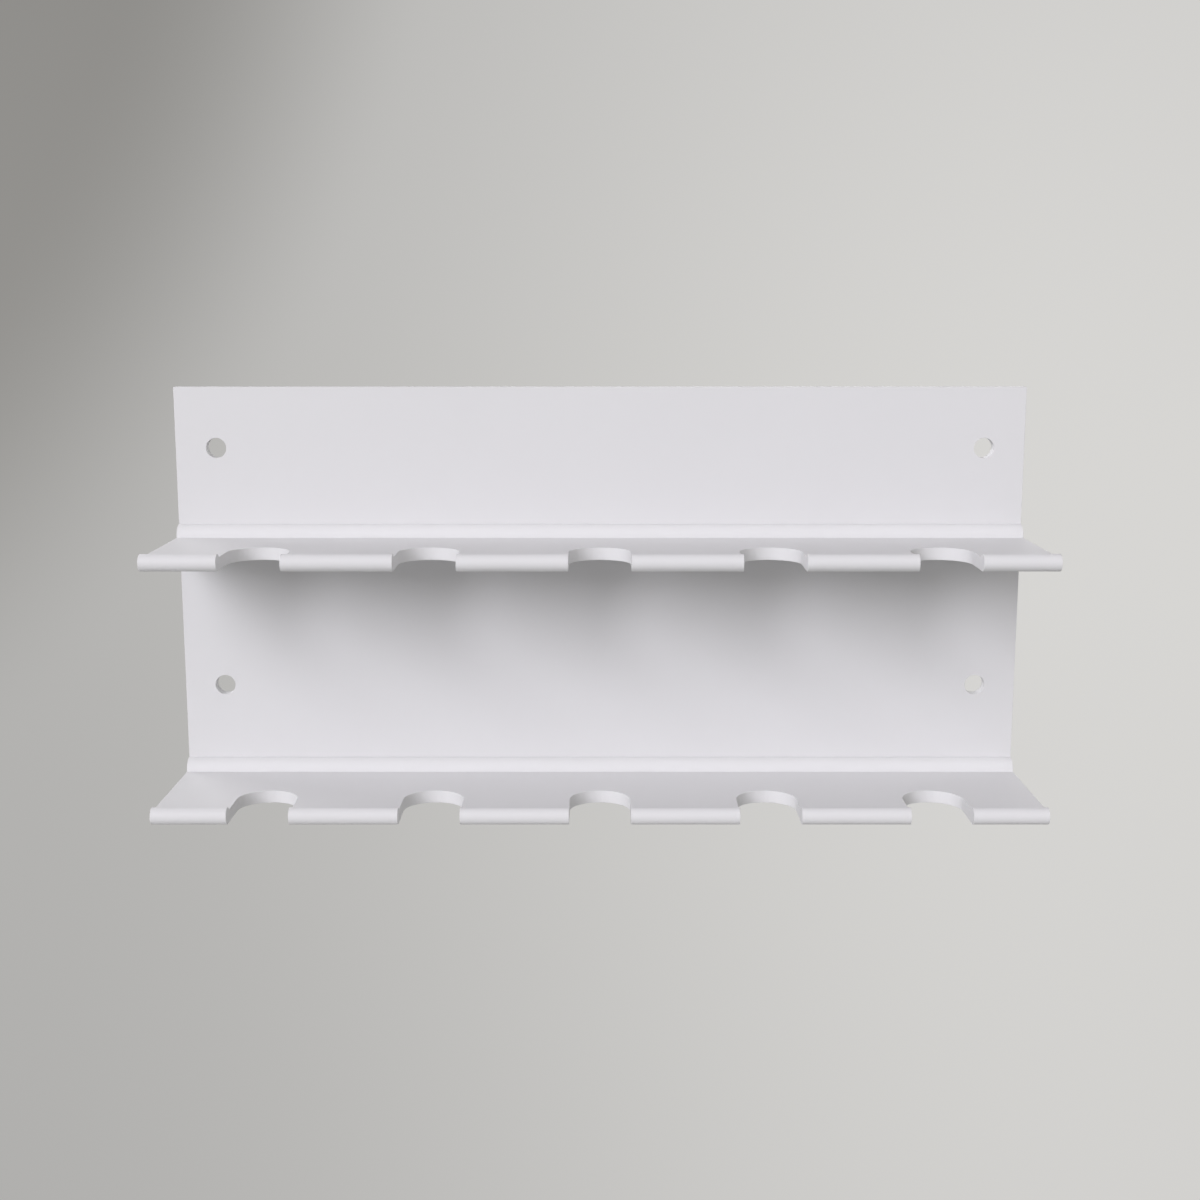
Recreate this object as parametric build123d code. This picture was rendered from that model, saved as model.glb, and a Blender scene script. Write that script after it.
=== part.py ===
from build123d import *

import os
from math import sqrt

# A wall rack for long-handled garden tools: a flat back plate that carries two notched shelves.
# Each shelf is drawn as one profile with a round front lip and a thick root, its notches are
# cut through, and countersunk screws from the wall side hold it to the plate.
# All sizes are in millimetres. X runs along the rack, Z is up, and the front looks along -Y.
# The origin is the centre of the four wall holes, on the face that lies against the wall.

# Rack
notch_count = 5
notch_pitch = 80
end_margin = 50             # centre of the last notch to the end of the rack
shelf_spacing = 120         # underside of the lower shelf to the underside of the upper one
edge_break = 0.4            # bevel on every outer edge of the plate and the shelves

# Back plate
plate_thickness = 6
wall_hole_diameter = 10
wall_hole_end_inset = 20    # centre of a wall hole to the end of the plate
wall_hole_rise = 50         # centre of a wall hole above the underside of the shelf below it
wall_hole_top_margin = 30   # centre of an upper wall hole to the top edge of the plate

# Shelf, the same for both
web_thickness = 6
lip_upstand = 2             # how far the round front lip stands above the web
root_bead_radius = 6.2      # convex quarter round that thickens the root
notch_width = 29
notch_seat_reach = 54       # face of the plate to the centre of a notch's round end
notch_mouth_length = 24     # that centre to the front of the lip

# Countersunk M4 screw with a hexagon socket, one behind each notch
screw_diameter = 4
screw_head_diameter = 7.6
screw_head_recess = 0.2     # how far the head sits below the wall face
screw_socket_width = 2.5    # across the flats
screw_socket_depth = 1.5
screw_shank_clearance = 0.25    # around the shank, in the plate
screw_fit_clearance = 0.05      # around the head's cone, and around the thread in the shelf
countersink_land = 0.95         # plate left between a lower countersink and the bottom edge
tapped_hole_skin = 1.2          # metal left between the end of a tapped hole and the root's face
tapped_hole_spare = 0.8         # depth of a tapped hole past the tip of its screw

# How far a cut runs past the face that it opens
overrun = 1

# Sizes and places that follow from those above
rack_length = (notch_count - 1) * notch_pitch + 2 * end_margin
plate_height = shelf_spacing + wall_hole_rise + wall_hole_top_margin
wall_hole_x = rack_length / 2 - wall_hole_end_inset
shelf_reach = notch_seat_reach + notch_mouth_length
lip_radius = (web_thickness + lip_upstand) / 2
screw_radius = screw_diameter / 2
screw_head_radius = screw_head_diameter / 2
countersink_radius = screw_head_radius + screw_fit_clearance + screw_head_recess
screw_rise = countersink_radius + countersink_land
tapped_hole_depth = root_bead_radius - tapped_hole_skin
lower_shelf_z = -(wall_hole_rise + shelf_spacing / 2)
shelf_heights = {"lower_shelf": lower_shelf_z, "upper_shelf": lower_shelf_z + shelf_spacing}
notch_centres = [(i - (notch_count - 1) / 2) * notch_pitch for i in range(notch_count)]


def turned(outline):
    """The solid swept by an outline of (radius, depth) points, turned about the Y axis."""
    return revolve(make_face(Polyline(*outline, close=True)), axis=Axis.Y)


def screw():
    """One screw on the Y axis, its head towards the wall and its thread drawn as a plain shank."""
    head_y = -screw_head_recess
    tip_y = tapped_hole_spare - tapped_hole_depth - plate_thickness
    body = turned([
        (0, head_y),
        (screw_head_radius, head_y),
        (screw_radius, head_y - screw_head_radius + screw_radius),
        (screw_radius, tip_y),
        (0, tip_y),
    ])
    hexagon = RegularPolygon(screw_socket_width / 2, side_count=6, major_radius=False)
    socket_mouth = Plane.XZ.offset(screw_head_recess)
    return body - extrude(socket_mouth * hexagon, amount=screw_socket_depth)


def screw_hole():
    """The cutter for one hole through the plate on the Y axis, with its 90 degree countersink."""
    radius = screw_radius + screw_shank_clearance
    return turned([
        (0, overrun),
        (countersink_radius + overrun, overrun),
        (radius, radius - countersink_radius),
        (radius, -plate_thickness - overrun),
        (0, -plate_thickness - overrun),
    ])


def tapped_hole():
    """The cutter for one blind hole on the Y axis, from the plate's face into a shelf's root."""
    radius = screw_radius + screw_fit_clearance
    return turned([
        (0, overrun - plate_thickness),
        (radius, overrun - plate_thickness),
        (radius, -plate_thickness - tapped_hole_depth),
        (0, -plate_thickness - tapped_hole_depth),
    ])


def back_plate():
    """The flat plate, with its wall holes and the countersunk holes behind each shelf."""
    centre = Pos(0, -plate_thickness / 2, lower_shelf_z + plate_height / 2)
    plate = centre * Box(rack_length, plate_thickness, plate_height)
    wall_hole = Rot(90, 0, 0) * Cylinder(wall_hole_diameter / 2, 2 * (plate_thickness + overrun))
    for shelf_z in shelf_heights.values():
        for x in (-wall_hole_x, wall_hole_x):
            plate -= Pos(x, 0, shelf_z + wall_hole_rise) * wall_hole
    plate = chamfer(plate.edges(), edge_break)
    for shelf_z in shelf_heights.values():
        for x in notch_centres:
            plate -= Pos(x, 0, shelf_z + screw_rise) * screw_hole()
    return plate


def shelf_section():
    """The section of a shelf: reach from the plate along X, height above the underside along Y.

    The lip is round from the underside to where the web meets it, and the quarter round of the
    root ends in a crease on the web and another on the plate.
    """
    lip_x = shelf_reach - lip_radius
    crease_x = lip_x - sqrt(lip_radius**2 - (web_thickness - lip_radius) ** 2)
    root_height = web_thickness + root_bead_radius
    return make_face([
        Line((0, 0), (lip_x, 0)),
        ThreePointArc((lip_x, 0), (shelf_reach, lip_radius), (crease_x, web_thickness)),
        Line((crease_x, web_thickness), (root_bead_radius, web_thickness)),
        RadiusArc((root_bead_radius, web_thickness), (0, root_height), -root_bead_radius),
        Line((0, root_height), (0, 0)),
    ])


def notch():
    """The upright cutter for one notch, open to the front, its round end about the Z axis."""
    radius = notch_width / 2
    mouth_y = -notch_mouth_length - overrun
    outline = make_face([
        Line((-radius, mouth_y), (-radius, 0)),
        RadiusArc((-radius, 0), (radius, 0), radius),
        Line((radius, 0), (radius, mouth_y)),
        Line((radius, mouth_y), (-radius, mouth_y)),
    ])
    height = web_thickness + lip_upstand + 2 * overrun
    return Pos(0, 0, -overrun) * extrude(outline, amount=height)


def shelf():
    """One shelf with its underside at height 0 and its root against the plate."""
    end = Plane((rack_length / 2, -plate_thickness, 0), x_dir=(0, -1, 0), z_dir=(-1, 0, 0))
    body = extrude(end * shelf_section(), amount=rack_length)
    for x in notch_centres:
        body -= Pos(x, -plate_thickness - notch_seat_reach, 0) * notch()
    along = body.edges().filter_by(Axis.X)
    creases = along.filter_by_position(Axis.Z, web_thickness, web_thickness)
    body = chamfer(body.edges() - creases, edge_break)
    for x in notch_centres:
        body -= Pos(x, 0, screw_rise) * tapped_hole()
    return body


def write_node(name, height, solids):
    """Write one named node, its solids moved up by a height, as a STEP file."""
    placed = [Pos(0, 0, height) * solid for solid in solids]
    export_step(Compound(label=name, children=placed), f"parts/{name}.step")


os.makedirs("parts", exist_ok=True)
write_node("back_plate", 0, [back_plate()])
for name, height in shelf_heights.items():
    write_node(name, height, [shelf()])
    screws = [Pos(x, 0, screw_rise) * screw() for x in notch_centres]
    write_node(f"{name}_screws", height, screws)
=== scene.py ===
import logging
import math
from dataclasses import dataclass, field
from enum import Enum
from typing import Any, Iterable, Sequence

import bmesh
import bpy
from mathutils import Matrix, Vector


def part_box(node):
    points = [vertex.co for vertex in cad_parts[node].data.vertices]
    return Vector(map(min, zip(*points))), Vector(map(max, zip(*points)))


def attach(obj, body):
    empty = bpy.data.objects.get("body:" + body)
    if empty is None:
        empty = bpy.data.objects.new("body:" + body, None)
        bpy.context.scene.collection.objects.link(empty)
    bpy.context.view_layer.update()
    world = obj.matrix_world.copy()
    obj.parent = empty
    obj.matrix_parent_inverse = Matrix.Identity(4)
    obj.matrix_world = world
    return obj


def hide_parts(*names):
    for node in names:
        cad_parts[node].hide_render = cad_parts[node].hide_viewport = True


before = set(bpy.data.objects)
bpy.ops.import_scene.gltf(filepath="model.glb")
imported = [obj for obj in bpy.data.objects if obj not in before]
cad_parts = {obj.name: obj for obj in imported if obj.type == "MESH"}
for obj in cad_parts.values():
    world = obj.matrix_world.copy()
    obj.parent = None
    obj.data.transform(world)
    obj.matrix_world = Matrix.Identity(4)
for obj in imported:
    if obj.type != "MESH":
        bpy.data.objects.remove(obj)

# A white wall rack for garden tools: a flat back plate with two notched shelves screwed to it
# from behind. X runs along the rack, Z is up, and the front looks along -Y. Lengths are metres.

MM = 0.001
SHARP_ANGLE = math.radians(38)
LOG = logging.getLogger("garden_tool_holder")
Point = tuple[float, float]
Place = tuple[float, float, float]
Colour = tuple[float, float, float, float]
Span = tuple[float, float]


# Shader graphs

class Wire:
    """A socket's output, with operators that add Math nodes."""

    def __init__(self, graph: "Graph", socket: bpy.types.NodeSocket) -> None:
        """Wraps a socket.

        Args:
            graph: the graph that the socket's node is in.
            socket: an output socket.
        """
        self.graph = graph
        self.socket = socket

    def _math(self, operation: str, first: Any, second: Any) -> "Wire":
        """A Math node on two values.

        Args:
            operation: the Math node's operation.
            first: a Wire or a number.
            second: a Wire or a number.

        Returns:
            The node's value.
        """
        node = self.graph.node("ShaderNodeMath", {"operation": operation}, {0: first, 1: second})
        return Wire(self.graph, node.outputs[0])

    def __add__(self, other: Any) -> "Wire":
        """self + other."""
        return self._math("ADD", self, other)

    def __radd__(self, other: Any) -> "Wire":
        """other + self."""
        return self._math("ADD", other, self)

    def __sub__(self, other: Any) -> "Wire":
        """self - other."""
        return self._math("SUBTRACT", self, other)

    def __mul__(self, other: Any) -> "Wire":
        """self * other."""
        return self._math("MULTIPLY", self, other)

    def __rmul__(self, other: Any) -> "Wire":
        """other * self."""
        return self._math("MULTIPLY", other, self)


# The sockets of a Mix node that are for colours
MIX_SHARE, MIX_FIRST, MIX_SECOND, MIX_RESULT = 0, 6, 7, 2


class Graph:
    """A node tree of a material, the world or a modifier, with one method that adds any node."""

    def __init__(self, tree: bpy.types.NodeTree) -> None:
        """Empties a node tree.

        Args:
            tree: the node tree.
        """
        self.tree = tree
        self.tree.nodes.clear()

    @classmethod
    def of(cls, owner: bpy.types.Material | bpy.types.World) -> "Graph":
        """The emptied node tree of a material or of the world.

        Args:
            owner: the material or world.

        Returns:
            Its graph.
        """
        owner.use_nodes = True
        return cls(owner.node_tree)

    def node(self, kind: str, settings: dict[str, Any], inputs: dict[Any, Any]) -> bpy.types.Node:
        """Adds a node.

        Args:
            kind: the node's type.
            settings: attributes of the node, which are set first.
            inputs: a value or a Wire for each input socket, by name or number.

        Returns:
            The node.
        """
        node = self.tree.nodes.new(kind)
        for name, value in settings.items():
            setattr(node, name, value)
        for name, value in inputs.items():
            if isinstance(value, Wire):
                self.tree.links.new(value.socket, node.inputs[name])
            else:
                node.inputs[name].default_value = value
        return node

    def wire(self, kind: str, settings: dict[str, Any], inputs: dict[Any, Any],
             output: str | int = 0) -> Wire:
        """Adds a node and takes one of its outputs.

        Args:
            kind: the node's type.
            settings: attributes of the node.
            inputs: a value or a Wire for each input socket.
            output: the name or number of the output.

        Returns:
            The output.
        """
        return Wire(self, self.node(kind, settings, inputs).outputs[output])

    def wires(self, kind: str, inputs: dict[Any, Any]) -> dict[str, Wire]:
        """Adds a node and takes all its outputs.

        Args:
            kind: the node's type.
            inputs: a value or a Wire for each input socket.

        Returns:
            The outputs by name.
        """
        return {socket.name: Wire(self, socket) for socket in self.node(kind, {}, inputs).outputs}

    def noise(self, place: Wire, size: float, detail: float) -> Wire:
        """A noise from 0 to 1.

        Args:
            place: the coordinates that it is read at.
            size: how far apart its lumps lie, in metres.
            detail: how many finer octaves it has.

        Returns:
            The noise.
        """
        return self.wire("ShaderNodeTexNoise", {}, {"Vector": place, "Scale": 1 / size,
                                                    "Detail": detail}, "Fac")

    def range(self, value: Wire, low: float, high: float, to_low: float, to_high: float) -> Wire:
        """A value carried from one range to another, eased at both ends and kept inside it.

        Args:
            value: the value.
            low: where the first range starts.
            high: where it ends.
            to_low: what low becomes.
            to_high: what high becomes.

        Returns:
            The carried value.
        """
        return self.wire("ShaderNodeMapRange",
                         {"interpolation_type": "SMOOTHSTEP", "clamp": True},
                         {"Value": value, "From Min": low, "From Max": high,
                          "To Min": to_low, "To Max": to_high}, "Result")

    def blend(self, share: Wire, first: Any, second: Any) -> Wire:
        """A colour between two others.

        Args:
            share: 0 for the first, 1 for the second.
            first: a colour or a Wire.
            second: a colour or a Wire.

        Returns:
            The colour.
        """
        return self.wire("ShaderNodeMix", {"data_type": "RGBA"},
                         {MIX_SHARE: share, MIX_FIRST: first, MIX_SECOND: second}, MIX_RESULT)

    def length(self, first: Wire, second: Wire) -> Wire:
        """The length of a line from its parts along two axes.

        Args:
            first: the part along one axis.
            second: the part along the other.

        Returns:
            The length.
        """
        return self.wire("ShaderNodeMath", {"operation": "SQRT"},
                         {0: first * first + second * second})

    def bump(self, height: Wire) -> Wire:
        """The normal of a surface with a relief.

        Args:
            height: how far the relief stands out, in metres.

        Returns:
            The normal.
        """
        return self.wire("ShaderNodeBump", {},
                         {"Height": height, "Strength": 1.0, "Distance": 1.0}, "Normal")

    def principled(self, inputs: dict[str, Any]) -> None:
        """Ends a material's graph with a Principled shader.

        Args:
            inputs: a value or a Wire for each input that doesn't keep its own value.
        """
        shader = self.wire("ShaderNodeBsdfPrincipled", {}, inputs, "BSDF")
        self.node("ShaderNodeOutputMaterial", {}, {"Surface": shader})


# Finishes

@dataclass(frozen=True)
class PowderCoat:
    """Matt white powder coat, with the faint ripple that it cures with."""

    name: str = "white_powder_coat"
    colour: Colour = (0.667, 0.664, 0.670, 1.0)
    shaded_colour: Colour = (0.653, 0.650, 0.656, 1.0)
    roughness: float = 0.6
    roughness_spread: float = 0.05
    specular: float = 0.15
    ripple_size: float = 2.2 * MM
    ripple_depth: float = 0.006 * MM
    grain_size: float = 0.35 * MM
    grain_depth: float = 0.0012 * MM
    cloud_size: float = 70 * MM

    def made(self) -> bpy.types.Material:
        """The material.

        Returns:
            A new material.
        """
        material = bpy.data.materials.new(self.name)
        graph = Graph.of(material)
        place = graph.wire("ShaderNodeTexCoord", {}, {}, "Object")
        cloud = graph.noise(place, self.cloud_size, 1.0)
        ripple = graph.noise(place, self.ripple_size, 1.0)
        grain = graph.noise(place, self.grain_size, 1.0)
        graph.principled({
            "Base Color": graph.blend(cloud, self.colour, self.shaded_colour),
            "Roughness": self.roughness + self.roughness_spread * (grain - 0.5),
            "Normal": graph.bump(self.ripple_depth * ripple + self.grain_depth * grain),
            "Specular IOR Level": self.specular,
        })
        return material


@dataclass(frozen=True)
class TurnedSteel:
    """Bright stainless steel with the fine rings that turning leaves."""

    name: str = "stainless_steel"
    colour: Colour = (0.58, 0.57, 0.55, 1.0)
    dull_colour: Colour = (0.47, 0.46, 0.45, 1.0)
    roughness: float = 0.27
    roughness_spread: float = 0.12
    ring_pitch: float = 0.16 * MM
    ring_depth: float = 0.0025 * MM
    stain_size: float = 1.4 * MM

    def made(self) -> bpy.types.Material:
        """The material.

        Returns:
            A new material. It reads the attribute "axis_distance" of the mesh.
        """
        material = bpy.data.materials.new(self.name)
        graph = Graph.of(material)
        place = graph.wire("ShaderNodeTexCoord", {}, {}, "Object")
        distance = graph.wire("ShaderNodeAttribute", {"attribute_name": "axis_distance"}, {}, "Fac")
        turn = graph.wire("ShaderNodeMath", {"operation": "SINE"},
                          {0: distance * (2 * math.pi / self.ring_pitch)})
        stain = graph.noise(place, self.stain_size, 3.0)
        graph.principled({
            "Base Color": graph.blend(stain, self.colour, self.dull_colour),
            "Metallic": 1.0,
            "Roughness": self.roughness + self.roughness_spread * (stain - 0.5),
            "Normal": graph.bump(turn * self.ring_depth),
        })
        return material


# Meshes

def arc(centre: Point, radius: float, start: float, end: float, steps: int) -> list[Point]:
    """Points along an arc, both ends included.

    Args:
        centre: the arc's centre.
        radius: its radius.
        start: the angle of its first point, in degrees.
        end: the angle of its last point, in degrees.
        steps: how many chords it has.

    Returns:
        The points.
    """
    turns = [math.radians(start + (end - start) * i / steps) for i in range(steps + 1)]
    return [(centre[0] + radius * math.cos(t), centre[1] + radius * math.sin(t)) for t in turns]


def angle_of(centre: Point, point: Point) -> float:
    """The direction from a centre to a point, in degrees."""
    return math.degrees(math.atan2(point[1] - centre[1], point[0] - centre[0]))


def new_object(name: str, mesh: bpy.types.Mesh) -> bpy.types.Object:
    """Puts a mesh into the scene, smooth shaded.

    Args:
        name: the object's name.
        mesh: its mesh.

    Returns:
        The object.
    """
    mesh.shade_smooth()
    made = bpy.data.objects.new(name, mesh)
    bpy.context.scene.collection.objects.link(made)
    return made


def closed(name: str, made: bmesh.types.BMesh) -> bpy.types.Object:
    """Makes an object of a closed surface, its normals outwards.

    Args:
        name: the object's name.
        made: the surface, which is freed.

    Returns:
        The solid.
    """
    bmesh.ops.recalc_face_normals(made, faces=made.faces)
    mesh = bpy.data.meshes.new(name)
    made.to_mesh(mesh)
    made.free()
    return new_object(name, mesh)


def prism(name: str, outline: Sequence[Point], place: Matrix, depth: float) -> bpy.types.Object:
    """A solid with one outline at both ends.

    Args:
        name: the object's name.
        outline: the points of the outline, without the first one again.
        place: carries a point of the outline, its third coordinate the depth, to its place.
        depth: how far the outline is pushed along its third coordinate.

    Returns:
        The solid.
    """
    made = bmesh.new()
    near = [made.verts.new(place @ Vector((a, b, 0))) for a, b in outline]
    far = [made.verts.new(place @ Vector((a, b, depth))) for a, b in outline]
    made.faces.new(near)
    made.faces.new(far)
    for i in range(len(outline)):
        made.faces.new((near[i - 1], near[i], far[i], far[i - 1]))
    return closed(name, made)


def lofted(name: str, rings: Sequence[Sequence[Place]], first_pole: Place,
           last_pole: Place) -> bpy.types.Object:
    """A solid through rings of points, with a fan of triangles over the first and the last.

    Args:
        name: the object's name.
        rings: rings with the same number of points each.
        first_pole: the middle of the first ring's fan.
        last_pole: the middle of the last ring's fan.

    Returns:
        The solid.
    """
    made = bmesh.new()
    rows = [[made.verts.new(place) for place in ring] for ring in rings]
    for row, pole in ((rows[0], first_pole), (rows[-1], last_pole)):
        centre = made.verts.new(pole)
        for i in range(len(row)):
            made.faces.new((centre, row[i - 1], row[i]))
    for row, following in zip(rows, rows[1:]):
        for i in range(len(row)):
            made.faces.new((row[i - 1], row[i], following[i], following[i - 1]))
    return closed(name, made)


def turned(name: str, outline: Sequence[Point], steps: int) -> bpy.types.Object:
    """A solid of revolution about the Y axis.

    Args:
        name: the object's name.
        outline: points of (radius, y), the first and the last on the axis.
        steps: how many sides the solid has.

    Returns:
        The solid.
    """
    turns = [2 * math.pi * i / steps for i in range(steps)]
    rings = [[(radius * math.cos(t), y, radius * math.sin(t)) for t in turns]
             for radius, y in outline[1:-1]]
    return lofted(name, rings, (0, outline[0][1], 0), (0, outline[-1][1], 0))


class RowUse(Enum):
    """What a row of copies is for."""

    CUT = "cut out of the piece"
    PLACED = "the piece itself"


# The inputs of a row's node tree, with the kind of each
ROW_INPUTS = {"Geometry": "Geometry", "Copied": "Object", "Count": "Int", "Pitch": "Float",
              "Height": "Float", "Seed": "Int", "Material": "Material"}


@dataclass
class Row:
    """Copies of one object in a row along X, evenly spaced about X = 0."""

    copied: bpy.types.Object
    count: int
    pitch: float
    height: float
    use: RowUse
    seed: int = 0

    def add_to(self, piece: bpy.types.Object, material: bpy.types.Material) -> None:
        """Adds the row to a piece as a Geometry Nodes modifier.

        Args:
            piece: the piece.
            material: what the piece is made of.
        """
        tree = self._tree()
        identifiers = {item.name: item.identifier for item in tree.interface.items_tree
                       if item.in_out == "INPUT"}
        values = {"Copied": self.copied, "Count": self.count, "Pitch": self.pitch,
                  "Height": self.height, "Seed": self.seed, "Material": material}
        modifier = piece.modifiers.new(f"row_of_{self.copied.name}", "NODES")
        modifier.node_group = tree
        for name, value in values.items():
            modifier[identifiers[name]] = value

    def _tree(self) -> bpy.types.NodeTree:
        """The node tree.

        Returns:
            A tree with inputs for the object copied, the count, pitch and height of the row,
            the seed of the copies' turns and the material.
        """
        tree = bpy.data.node_groups.new(f"row_{self.use.name.lower()}", "GeometryNodeTree")
        for name, kind in ROW_INPUTS.items():
            tree.interface.new_socket(name, in_out="INPUT", socket_type=f"NodeSocket{kind}")
        tree.interface.new_socket("Geometry", in_out="OUTPUT", socket_type="NodeSocketGeometry")
        graph = Graph(tree)
        given = graph.wires("NodeGroupInput", {})
        first = (given["Count"] - 1.0) * -0.5 * given["Pitch"]
        start = graph.wire("ShaderNodeCombineXYZ", {}, {"X": first, "Z": given["Height"]})
        step = graph.wire("ShaderNodeCombineXYZ", {}, {"X": given["Pitch"]})
        line = graph.wire("GeometryNodeMeshLine", {"mode": "OFFSET"},
                          {"Count": given["Count"], "Start Location": start, "Offset": step})
        shape = graph.wire("GeometryNodeObjectInfo", {}, {"Object": given["Copied"]}, "Geometry")
        placing = {"Points": line, "Instance": shape}
        if self.use is RowUse.PLACED:
            turn = graph.wire("FunctionNodeRandomValue", {"data_type": "FLOAT"},
                              {"Max": 2 * math.pi, "Seed": given["Seed"]}, "Value")
            placing["Rotation"] = graph.wire("ShaderNodeCombineXYZ", {}, {"Y": turn})
        result = graph.wire("GeometryNodeInstanceOnPoints", {}, placing)
        if self.use is RowUse.CUT:
            result = graph.wire("GeometryNodeMeshBoolean",
                                {"operation": "DIFFERENCE", "solver": "MANIFOLD"},
                                {"Mesh 1": given["Geometry"], "Mesh 2": result}, "Mesh")
        real = graph.wire("GeometryNodeRealizeInstances", {}, {"Geometry": result})
        dressed = graph.wire("GeometryNodeSetMaterial", {},
                             {"Geometry": real, "Material": given["Material"]})
        graph.node("NodeGroupOutput", {}, {"Geometry": dressed})
        return tree


def rounded(piece: bpy.types.Object, radius: float, steps: int) -> None:
    """Rounds every edge of a piece that is still sharp when this modifier's turn comes.

    Args:
        piece: the piece.
        radius: how far the rounding reaches on each side of an edge.
        steps: how many facets it has.
    """
    bevel = piece.modifiers.new("rounded_edges", "BEVEL")
    bevel.limit_method = "ANGLE"
    bevel.angle_limit = SHARP_ANGLE
    bevel.width = radius
    bevel.segments = steps
    bevel.use_clamp_overlap = False
    bevel.miter_outer = "MITER_SHARP"


def finished(piece: bpy.types.Object, tools: Iterable[bpy.types.Object]) -> bpy.types.Object:
    """A plain mesh of a piece with its modifiers carried out.

    Args:
        piece: the piece.
        tools: objects that only its modifiers used, which are deleted.

    Returns:
        The piece, under the same name.
    """
    graph = bpy.context.evaluated_depsgraph_get()
    graph.update()
    mesh = bpy.data.meshes.new_from_object(piece.evaluated_get(graph),
                                           preserve_all_data_layers=True, depsgraph=graph)
    name = piece.name
    for old in (piece, *tools):
        bpy.data.objects.remove(old)
    mesh.name = name
    mesh.set_sharp_from_angle(angle=SHARP_ANGLE)
    made = new_object(name, mesh)
    even = made.modifiers.new("even_shading", "WEIGHTED_NORMAL")
    even.mode = "FACE_AREA"
    even.keep_sharp = True
    return made


# The rack

@dataclass
class Layout:
    """What the two shelves and the plate share."""

    notch_count: int = 5
    notch_pitch: float = 80 * MM
    edge_round: float = 0.12 * MM
    screw_hole_rise: float = 5 * MM     # screws' axis above the underside of their shelf
    overrun: float = 1 * MM             # how far a cut runs past the face that it opens


@dataclass
class BackPlate:
    """The flat plate with four wall holes and countersunk holes for the shelves' screws."""

    layout: Layout
    coat: bpy.types.Material
    shelf_heights: Sequence[float]
    wall_hole_radius: float = 5 * MM
    wall_hole_count: int = 2            # above each shelf
    wall_hole_pitch: float = 380 * MM
    wall_hole_rise: float = 50 * MM     # above the underside of the shelf below it
    countersink_radius: float = 4.05 * MM
    screw_hole_radius: float = 2.25 * MM
    hole_edge: float = 0.07 * MM        # rounding of a wall hole's rims
    countersink_edge: float = 0.2 * MM  # rounding of a countersink's rim
    round_steps: int = 5
    hole_steps: int = 96

    def made(self) -> bpy.types.Object:
        """The plate.

        Returns:
            The finished plate.
        """
        low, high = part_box("back_plate")
        outline = [(low.x, low.z), (high.x, low.z), (high.x, high.z), (low.x, high.z)]
        upright = Matrix(((1, 0, 0, 0), (0, 0, 1, low.y), (0, 1, 0, 0), (0, 0, 0, 1)))
        thickness = high.y - low.y
        plate = prism("back_plate_coated", outline, upright, thickness)
        hole = self.wall_hole(thickness)
        sunk = self.screw_hole(thickness)
        rounded(plate, self.layout.edge_round, self.round_steps)
        for height in self.shelf_heights:
            Row(hole, self.wall_hole_count, self.wall_hole_pitch, height + self.wall_hole_rise,
                RowUse.CUT).add_to(plate, self.coat)
            Row(sunk, self.layout.notch_count, self.layout.notch_pitch,
                height + self.layout.screw_hole_rise, RowUse.CUT).add_to(plate, self.coat)
        plate = finished(plate, (hole, sunk))
        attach(plate, "root")
        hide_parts("back_plate")
        return plate

    def wall_hole(self, thickness: float) -> bpy.types.Object:
        """The cutter for a wall hole, flared where it leaves the plate so that the rims are round.

        Args:
            thickness: how thick the plate is.

        Returns:
            The cutter about the Y axis.
        """
        past = self.layout.overrun
        edge = self.hole_edge
        wide = self.wall_hole_radius + edge
        return turned("wall_hole", [
            (0, past),
            (wide, past),
            *arc((wide, -edge), edge, 90, 180, self.round_steps),
            *arc((wide, edge - thickness), edge, 180, 270, self.round_steps),
            (wide, -thickness - past),
            (0, -thickness - past),
        ], self.hole_steps)

    def screw_hole(self, thickness: float) -> bpy.types.Object:
        """The cutter for a countersunk hole, its cone towards the wall.

        Args:
            thickness: how thick the plate is.

        Returns:
            The cutter about the Y axis.
        """
        past = self.layout.overrun
        edge = self.countersink_edge
        half_turn = math.radians(45 / 2)    # half the angle from the wall's face into the cone
        wide = self.countersink_radius + edge * math.tan(half_turn)
        narrow = self.screw_hole_radius
        return turned("screw_hole", [
            (0, past),
            (wide, past),
            *arc((wide, -edge), edge, 90, 135, self.round_steps),
            (narrow, narrow - self.countersink_radius),
            (narrow, -thickness - past),
            (0, -thickness - past),
        ], self.hole_steps)


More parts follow.
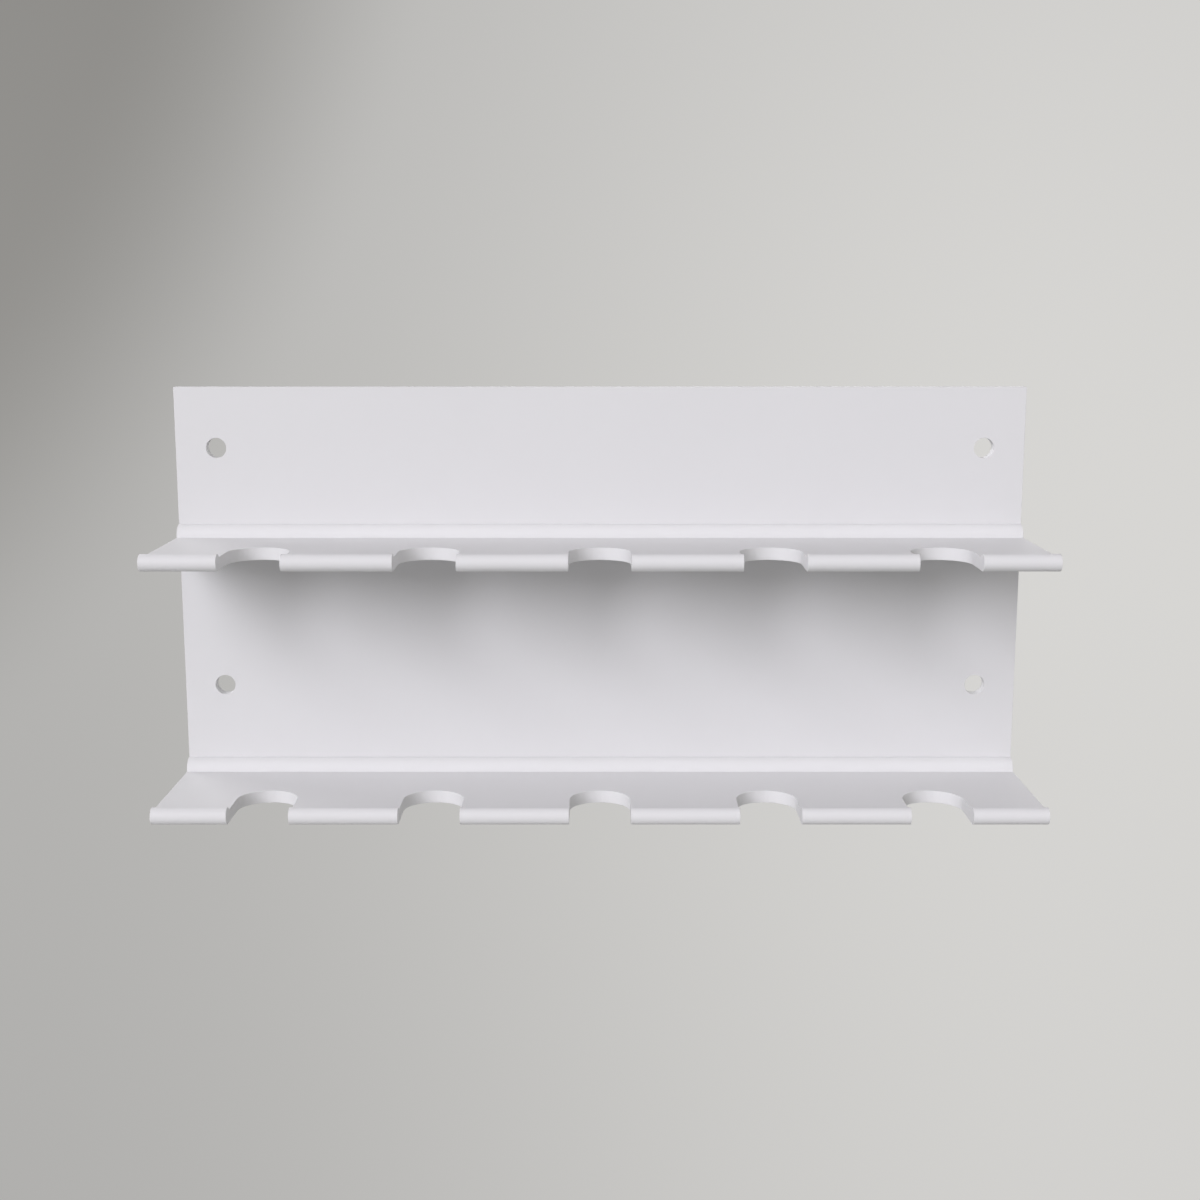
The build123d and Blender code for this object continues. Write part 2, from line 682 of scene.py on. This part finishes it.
@dataclass
class Shelf:
    """One shelf: a web with a round front lip, a thick root and a row of notches."""

    layout: Layout
    coat: bpy.types.Material
    node: str
    web: float = 6 * MM
    lip_radius: float = 4.0 * MM
    root_radius: float = 6.2 * MM
    crease_round: float = 0.05 * MM     # where the web meets the lip and the root
    root_top_round: float = 0.1 * MM    # where the root meets the plate
    rim_round: float = 0.12 * MM        # along the notches and round the ends
    notch_radius: float = 14.5 * MM
    notch_seat_reach: float = 54 * MM
    tapped_radius: float = 2.05 * MM
    tapped_depth: float = 5 * MM
    round_steps: int = 5
    lip_steps: int = 72
    root_steps: int = 24
    notch_steps: int = 96
    tapped_steps: int = 48

    def outline(self, reach: float) -> list[Point]:
        """The section, as points of reach from the plate and height above the underside.

        Args:
            reach: the front of the lip from the face of the plate.

        Returns:
            The points, from the rear end of the underside, round the lip, to the plate.
        """
        steps = self.round_steps
        edge = self.layout.edge_round
        fillet = self.crease_round
        lip = (reach - self.lip_radius, self.lip_radius)
        fillet_height = self.web + fillet
        lip_fillet = (lip[0] - math.sqrt((self.lip_radius + fillet) ** 2
                                         - (fillet_height - lip[1]) ** 2), fillet_height)
        root = (0.0, self.web)
        root_fillet = (math.sqrt((self.root_radius + fillet) ** 2 - fillet ** 2), fillet_height)
        top = self.root_top_round
        top_edge = (top, self.web + math.sqrt((self.root_radius - top) ** 2 - top ** 2))
        lip_end = angle_of(lip, lip_fillet)
        root_start = angle_of(root, root_fillet)
        root_end = angle_of(root, top_edge)
        return [
            *arc((edge, edge), edge, 180, 270, steps),
            *arc(lip, self.lip_radius, -90, lip_end, self.lip_steps),
            *arc(lip_fillet, fillet, lip_end - 180, -90, steps)[1:],
            *arc(root_fillet, fillet, -90, root_start - 180, steps),
            *arc(root, self.root_radius, root_start, root_end, self.root_steps)[1:],
            *arc(top_edge, top, root_end, 180, steps)[1:],
        ]

    def notch(self, low: Vector, high: Vector) -> bpy.types.Object:
        """The cutter for one notch.

        Args:
            low: the lowest corner of the shelf.
            high: its highest corner.

        Returns:
            The cutter, at the middle of the rack.
        """
        past = self.layout.overrun
        seat_y = high.y - self.notch_seat_reach
        outline = [(self.notch_radius, low.y - past),
                   *arc((0, seat_y), self.notch_radius, 0, 180, self.notch_steps),
                   (-self.notch_radius, low.y - past)]
        height = high.z - low.z + 2 * past
        return prism("notch", outline, Matrix.Translation((0, 0, low.z - past)), height)

    def made(self) -> bpy.types.Object:
        """The shelf.

        Returns:
            The finished shelf.
        """
        low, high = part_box(self.node)
        along = Matrix(((0, 0, 1, low.x), (-1, 0, 0, high.y), (0, 1, 0, low.z), (0, 0, 0, 1)))
        shelf = prism(f"{self.node}_coated", self.outline(high.y - low.y), along, high.x - low.x)
        notch = self.notch(low, high)
        tapped = turned("tapped_hole", [(0, high.y + self.layout.overrun),
                                        (self.tapped_radius, high.y + self.layout.overrun),
                                        (self.tapped_radius, high.y - self.tapped_depth),
                                        (0, high.y - self.tapped_depth)], self.tapped_steps)
        Row(notch, self.layout.notch_count, self.layout.notch_pitch, 0,
            RowUse.CUT).add_to(shelf, self.coat)
        rounded(shelf, self.rim_round, self.round_steps)
        Row(tapped, self.layout.notch_count, self.layout.notch_pitch,
            low.z + self.layout.screw_hole_rise, RowUse.CUT).add_to(shelf, self.coat)
        shelf = finished(shelf, (notch, tapped))
        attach(shelf, "root")
        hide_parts(self.node)
        return shelf


@dataclass
class Screws:
    """The countersunk hexagon-socket screws of one shelf, seen from behind the plate."""

    layout: Layout
    steel: bpy.types.Material
    node: str
    seed: int
    head_radius: float = 3.8 * MM
    head_edge: float = 0.12 * MM        # rounding of the head's rim
    head_edge_inset: float = 0.288 * MM     # centre of that rounding from the head's full radius
    head_edge_steps: int = 4
    shank_radius: float = 2 * MM
    thread_pitch: float = 0.7 * MM
    thread_depth: float = 0.4 * MM
    thread_start: float = 0.6 * MM      # below the head's cone
    tip_bevel: float = 0.5 * MM
    socket_width: float = 2.5 * MM
    socket_depth: float = 1.5 * MM
    socket_bevel: float = 0.12 * MM     # beyond the hexagon's corners, at the mouth
    socket_point: float = 0.3 * MM      # rise of the drilled point in the socket's floor
    sides: int = 48
    rows_per_turn: int = 8

    def made(self) -> bpy.types.Object:
        """The row of screws.

        Returns:
            The screws as one piece.
        """
        low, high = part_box(self.node)
        screw = self.screw(high.y, high.y - low.y)
        empty = new_object(f"{self.node}_turned", bpy.data.meshes.new("empty"))
        Row(screw, self.layout.notch_count, self.layout.notch_pitch, (low.z + high.z) / 2,
            RowUse.PLACED, self.seed).add_to(empty, self.steel)
        row = finished(empty, (screw,))
        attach(row, "root")
        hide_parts(self.node)
        return row

    def screw(self, top: float, length: float) -> bpy.types.Object:
        """One screw about the Y axis, its head at the top.

        Args:
            top: where the flat of the head lies.
            length: how long the screw is.

        Returns:
            The screw, with the distance from its axis as an attribute.
        """
        rings = [[(radius * math.cos(t), top - depth, radius * math.sin(t))
                  for t, radius, depth in ring] for ring in self.rings(length)]
        screw = lofted("screw", rings, (0, top - self.socket_depth, 0), (0, top - length, 0))
        distance = screw.data.attributes.new("axis_distance", "FLOAT", "POINT")
        distance.data.foreach_set("value", [math.hypot(v.co.x, v.co.z)
                                            for v in screw.data.vertices])
        return screw

    def rings(self, length: float) -> list[list[tuple[float, float, float]]]:
        """The rings of points of one screw, from its socket, over the head, to its tip.

        Args:
            length: how long the screw is.

        Returns:
            Rings of (turn, radius, depth below the head).
        """
        turns = [2 * math.pi * i / self.sides for i in range(self.sides)]
        side = math.pi / 3
        hexagon = [self.socket_width / 2 / math.cos(t % side - side / 2) for t in turns]
        mouth = max(hexagon) + self.socket_bevel
        floor = self.socket_depth - self.socket_point
        rings = [
            [(t, r, floor) for t, r in zip(turns, hexagon)],
            [(t, r, mouth - r) for t, r in zip(turns, hexagon)],
            [(t, mouth, 0.0) for t in turns],
        ]
        rim = arc((self.head_radius - self.head_edge_inset, self.head_edge), self.head_edge,
                  -90, 45, self.head_edge_steps)
        rings += [[(t, radius, depth) for t in turns] for radius, depth in rim]
        cone_end = self.head_radius - self.shank_radius
        thread = cone_end + self.thread_start
        rings += [[(t, self.shank_radius, depth) for t in turns] for depth in (cone_end, thread)]
        row = self.thread_pitch / self.rows_per_turn
        depth = thread + row
        while depth < length - row:
            rings.append([(t, self.thread_radius(t, depth, length), depth) for t in turns])
            depth += row
        tip = self.shank_radius - self.tip_bevel
        return [*rings, [(t, tip, length) for t in turns]]

    def thread_radius(self, turn: float, depth: float, length: float) -> float:
        """How far the thread reaches from the screw's axis.

        Args:
            turn: the angle about the axis.
            depth: the depth below the head.
            length: how long the screw is.

        Returns:
            The radius there.
        """
        share = (depth / self.thread_pitch + turn / (2 * math.pi)) % 1
        ridge = abs(2 * share - 1)
        bevelled = self.shank_radius - self.tip_bevel + (length - depth)
        return min(self.shank_radius - self.thread_depth * (1 - ridge), bevelled)


# The studio

@dataclass
class Softbox:
    """A large soft lamp, far enough away that it lights the whole rack evenly."""

    name: str
    azimuth: float          # degrees from the front, towards +X
    elevation: float        # degrees above the horizon
    width: float
    height: float
    brightness: float       # of its face, where 1 is white
    colour: tuple[float, float, float] = (1.0, 1.0, 1.0)
    distance: float = 30.0

    def lit(self, target: Vector) -> None:
        """Puts the lamp into the scene.

        Args:
            target: the point that it faces.
        """
        turn = math.radians(self.azimuth)
        rise = math.radians(self.elevation)
        towards = Vector((math.sin(turn) * math.cos(rise), -math.cos(turn) * math.cos(rise),
                          math.sin(rise)))
        light = bpy.data.lights.new(self.name, "AREA")
        light.shape = "RECTANGLE"
        light.size = self.width
        light.size_y = self.height
        light.energy = self.brightness * math.pi * self.width * self.height
        light.color = self.colour
        lamp = bpy.data.objects.new(self.name, light)
        lamp.location = target + self.distance * towards
        lamp.rotation_euler = towards.to_track_quat("Z", "Y").to_euler()
        lamp.visible_camera = False
        bpy.context.scene.collection.objects.link(lamp)


@dataclass(frozen=True)
class Surroundings:
    """What lies round the rack: a pale grey, darker to the left, with a painted shadow top left.

    Beyond the left edge of the picture it is pale again. The camera sees it, and so do glossy
    and transmitted rays. Everything else is lit by an even, weaker light. A span here is of one
    part of a ray's direction, from -1 to 1.
    """

    left: Colour = (0.452, 0.447, 0.436, 1.0)
    right: Colour = (0.679, 0.671, 0.654, 1.0)
    left_to_right: Span = (-0.39, 0.295)
    # the colour of the painted shadow that darkens the grey in the upper left corner
    corner: Colour = (0.295, 0.288, 0.275, 1.0)
    painted_shadow_centre: Point = (-0.729, 0.446)
    painted_shadow_stretch: float = 0.798
    painted_shadow_reach: Span = (0.512, 0.676)     # distances from the painted shadow's centre: full within the first, gone past the second
    beyond: Colour = (0.64, 0.635, 0.62, 1.0)
    beyond_reach: Span = (-0.72, -0.38)
    above: Span = (-0.116, 0.6)
    above_share: float = 0.843              # of the grey's strength, high up
    below: Span = (-0.741, -0.1)
    below_share: float = 0.922              # of the grey's strength, far down
    low_front_light: Colour = (0.45, 0.452, 0.444, 1.0)
    low_back_light: Colour = (0.14, 0.15, 0.12, 1.0)
    high_front_light: Colour = (0.278, 0.264, 0.262, 1.0)
    high_back_light: Colour = (0.1, 0.097, 0.1, 1.0)
    front_to_back: Span = (-0.5, 0.5)
    low_to_high: Span = (-0.45, 0.25)

    def made(self) -> bpy.types.World:
        """The world, whose grey depends only on the direction in which a ray leaves.

        Returns:
            A new world.
        """
        world = bpy.data.worlds.new("surroundings")
        graph = Graph.of(world)
        towards = graph.wire("ShaderNodeTexCoord", {}, {}, "Generated")
        parts = graph.wires("ShaderNodeSeparateXYZ", {"Vector": towards})
        rays = graph.wires("ShaderNodeLightPath", {})
        seen = rays["Is Camera Ray"] + rays["Is Glossy Ray"] + rays["Is Transmission Ray"]
        sees = graph.wire("ShaderNodeMath", {"operation": "MINIMUM"}, {0: seen, 1: 1.0})
        both = graph.wire("ShaderNodeMixShader", {},
                          {0: sees, 1: self.light(graph, parts), 2: self.picture(graph, parts)})
        graph.node("ShaderNodeOutputWorld", {}, {"Surface": both})
        return world

    def picture(self, graph: Graph, parts: dict[str, Wire]) -> Wire:
        """The grey that is seen, with its painted shadow in the upper left corner.

        Args:
            graph: the world's graph.
            parts: the parts of a ray's direction, by axis.

        Returns:
            The shader.
        """
        across = parts["X"]
        rise = parts["Z"]
        grey = graph.blend(graph.range(across, *self.left_to_right, 0, 1), self.left, self.right)
        # A painted shadow darkens the grey in the upper left corner, fading out away from its
        # centre.
        reach = graph.length(across - self.painted_shadow_centre[0],
                             (rise - self.painted_shadow_centre[1]) * self.painted_shadow_stretch)
        inside = graph.blend(graph.range(reach, *self.painted_shadow_reach, 1, 0), grey, self.corner)
        shown = graph.blend(graph.range(across, *self.beyond_reach, 1, 0), inside, self.beyond)
        fade = (graph.range(rise, *self.above, 1, self.above_share)
                * graph.range(rise, *self.below, self.below_share, 1))
        return graph.wire("ShaderNodeBackground", {}, {"Color": shown, "Strength": fade})

    def light(self, graph: Graph, parts: dict[str, Wire]) -> Wire:
        """The even light, a little different from the front, from behind, from below and above.

        Args:
            graph: the world's graph.
            parts: the parts of a ray's direction, by axis.

        Returns:
            The shader.
        """
        behind = graph.range(parts["Y"], *self.front_to_back, 0, 1)
        low = graph.blend(behind, self.low_front_light, self.low_back_light)
        high = graph.blend(behind, self.high_front_light, self.high_back_light)
        lit = graph.blend(graph.range(parts["Z"], *self.low_to_high, 0, 1), low, high)
        return graph.wire("ShaderNodeBackground", {}, {"Color": lit, "Strength": 1.0})


@dataclass
class Studio:
    """The camera, the lamps, the surroundings and a pale floor far below the rack."""

    target: Vector = field(default_factory=lambda: Vector((0, -0.04, -0.01)))
    camera_place: Vector = field(default_factory=lambda: Vector((0, -0.83135, 0.12995)))
    camera_tilt: float = 10.054         # degrees below the horizon
    lens: float = 50.0                  # millimetres
    floor_height: float = -0.8
    floor_thickness: float = 0.01
    floor_radius: float = 0.75
    floor_sides: int = 128
    floor_fade: float = 0.35            # distance from its rim over which the floor fades out
    floor_colour: Colour = (0.78, 0.775, 0.76, 1.0)

    def set_up(self) -> None:
        """Builds the whole studio."""
        self.camera()
        self.floor()
        for lamp in self.lamps():
            lamp.lit(self.target)
        bpy.context.scene.world = Surroundings().made()
        bpy.context.scene.view_settings.view_transform = "Standard"

    def lamps(self) -> list[Softbox]:
        """The lamps, all facing the target.

        Returns:
            A key from the front left, three weak fills, and three lamps from behind.
        """
        return [
            Softbox("key", -36, 27.3, 21.0, 19.0, 7.23, (0.956, 0.948, 1.0)),
            Softbox("fill", 38, 25, 26.5, 26.5, 0.46),
            Softbox("side", 85, 12, 19.25, 19.25, 0.83),
            Softbox("top", 45, 60, 20.5, 20.5, 0.26),
            Softbox("rim_left", -136, 26, 15.0, 15.0, 5.4),
            Softbox("rim_right", 136, 26, 15.0, 15.0, 1.2),
            Softbox("back", 170, 6, 15.0, 15.0, 2.2),
        ]

    def camera(self) -> None:
        """The camera, where the photograph's perspective puts it."""
        data = bpy.data.cameras.new("camera")
        data.lens = self.lens
        camera = bpy.data.objects.new("camera", data)
        camera.location = self.camera_place
        camera.rotation_euler = (math.radians(90 - self.camera_tilt), 0, 0)
        bpy.context.scene.collection.objects.link(camera)
        bpy.context.scene.camera = camera

    def floor(self) -> None:
        """The floor, which fades out towards its rim."""
        outline = arc((0, 0), self.floor_radius, 0, 360, self.floor_sides)[:-1]
        under = Matrix.Translation((0, 0, self.floor_height - self.floor_thickness))
        floor = prism("floor", outline, under, self.floor_thickness)
        material = bpy.data.materials.new("floor")
        graph = Graph.of(material)
        place = graph.wire("ShaderNodeTexCoord", {}, {}, "Object")
        parts = graph.wires("ShaderNodeSeparateXYZ", {"Vector": place})
        reach = graph.length(parts["X"], parts["Y"])
        clear = graph.range(reach, self.floor_radius - self.floor_fade, self.floor_radius, 0, 1)
        solid = graph.wire("ShaderNodeBsdfDiffuse", {}, {"Color": self.floor_colour}, "BSDF")
        gone = graph.wire("ShaderNodeBsdfTransparent", {}, {}, "BSDF")
        mixed = graph.wire("ShaderNodeMixShader", {}, {0: clear, 1: solid, 2: gone})
        graph.node("ShaderNodeOutputMaterial", {}, {"Surface": mixed})
        floor.data.materials.append(material)


def main() -> None:
    """Builds the rack and the studio."""
    logging.basicConfig(level=logging.INFO, format="%(message)s")
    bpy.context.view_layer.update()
    layout = Layout()
    coat = PowderCoat().made()
    steel = TurnedSteel().made()
    shelves = ("lower_shelf", "upper_shelf")
    heights = [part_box(node)[0].z for node in shelves]
    made = [BackPlate(layout, coat, heights).made()]
    for seed, node in enumerate(shelves, start=1):
        made.append(Shelf(layout, coat, node).made())
        made.append(Screws(layout, steel, f"{node}_screws", seed).made())
    for piece in made:
        LOG.info("%s: %d faces", piece.name, len(piece.data.polygons))
    Studio().set_up()


if __name__ == "__main__":
    main()
